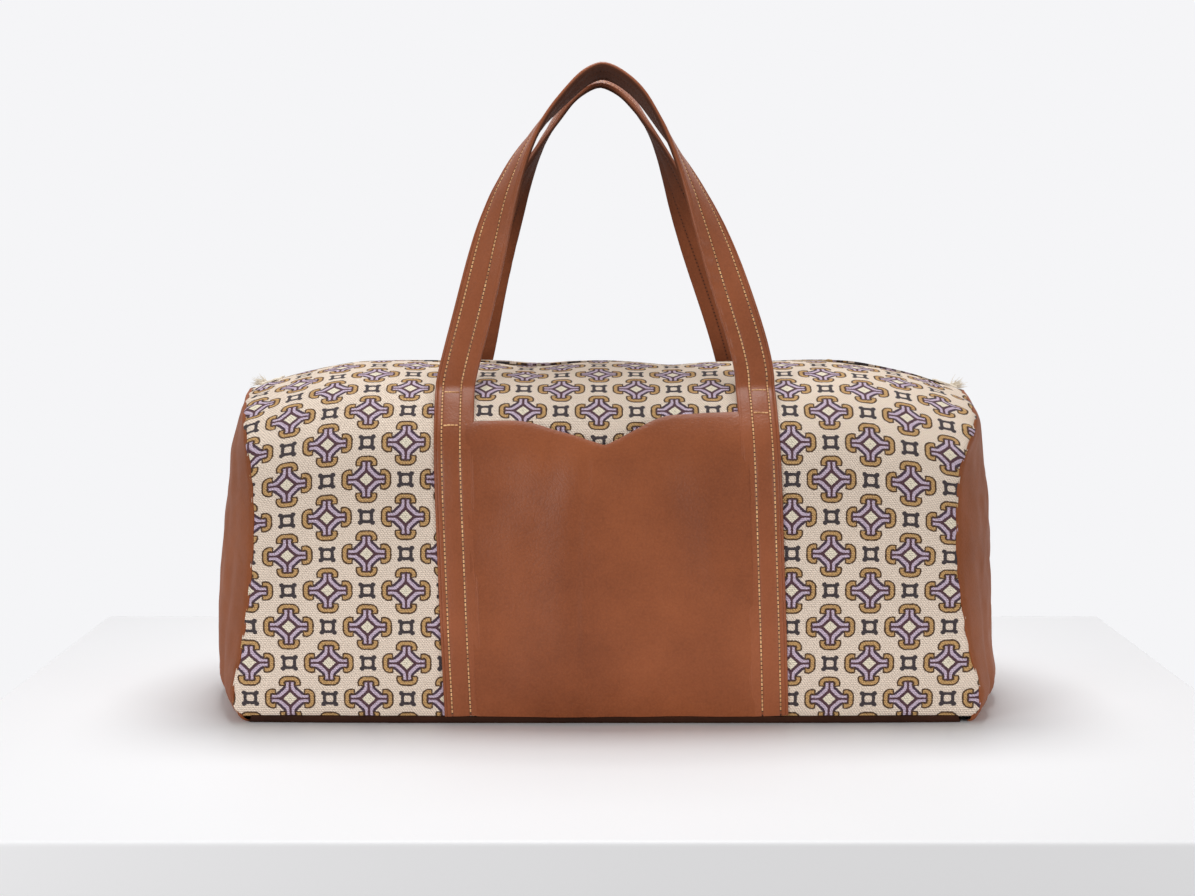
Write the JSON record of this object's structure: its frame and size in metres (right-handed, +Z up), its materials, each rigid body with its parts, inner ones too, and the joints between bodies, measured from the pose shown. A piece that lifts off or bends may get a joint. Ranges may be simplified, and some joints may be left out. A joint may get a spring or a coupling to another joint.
{
  "type": "travel bag",
  "caption": "Soft holdall of printed canvas with leather ends, base, slip pocket, sewn straps, hinged loop handles and a top zip with a sliding, turning pull.",
  "frame": {"origin": "middle of the base, on the surface that the bag stands on", "axes": "+X along the bag's length, to the right seen from the front; +Y from front to back; +Z up"},
  "size_m": [0.546, 0.246, 0.4387],
  "materials": {
    "canvas": "woven, printed",
    "leather": "pebbled satin",
    "zip_tape": "woven",
    "tab_cloth": "woven, frayed",
    "zip_metal": "satin",
    "lining": "plain woven",
    "board": "matte"
  },
  "bodies": {
    "bag": {"front_panel": "canvas", "back_panel": "canvas", "left_end_panel": "leather", "right_end_panel": "leather", "bottom_panel": "leather", "front_pocket": "leather", "front_left_strap": "leather", "front_right_strap": "leather", "back_left_strap": "leather", "back_right_strap": "leather", "zip_tape_front": "zip_tape", "zip_tape_back": "zip_tape", "zip_teeth_front": "zip_metal", "zip_teeth_back": "zip_metal", "zip_top_stops": "zip_metal", "zip_bottom_stop": "zip_metal", "zip_end_tab_left": "tab_cloth", "zip_end_tab_right": "tab_cloth", "lining": "lining", "base_board": "board"},
    "front_handle": {"front_handle": "leather"},
    "back_handle": {"back_handle": "leather"},
    "slider": {"zip_slider": "zip_metal"},
    "pull": {"zip_pull": "zip_metal"}
  },
  "joints": [
    {"name": "front_handle_hinge", "type": "hinge", "parent": "bag", "child": "front_handle", "pos_m": [0, -0.07837, 0.22098], "axis": [1, 0, 0], "range_deg": [0, 110]},
    {"name": "back_handle_hinge", "type": "hinge", "parent": "bag", "child": "back_handle", "pos_m": [0, 0.07837, 0.22098], "axis": [-1, 0, 0], "range_deg": [0, 110]},
    {"name": "zip_slide", "type": "slide", "parent": "bag", "child": "slider", "axis": [-1, 0, 0], "range_m": [0, 0.315]},
    {"name": "pull_hinge", "type": "hinge", "parent": "slider", "child": "pull", "pos_m": [0.1577, 0, 0.23223], "axis": [0, 1, 0], "range_deg": [0, 180]}
  ]
}
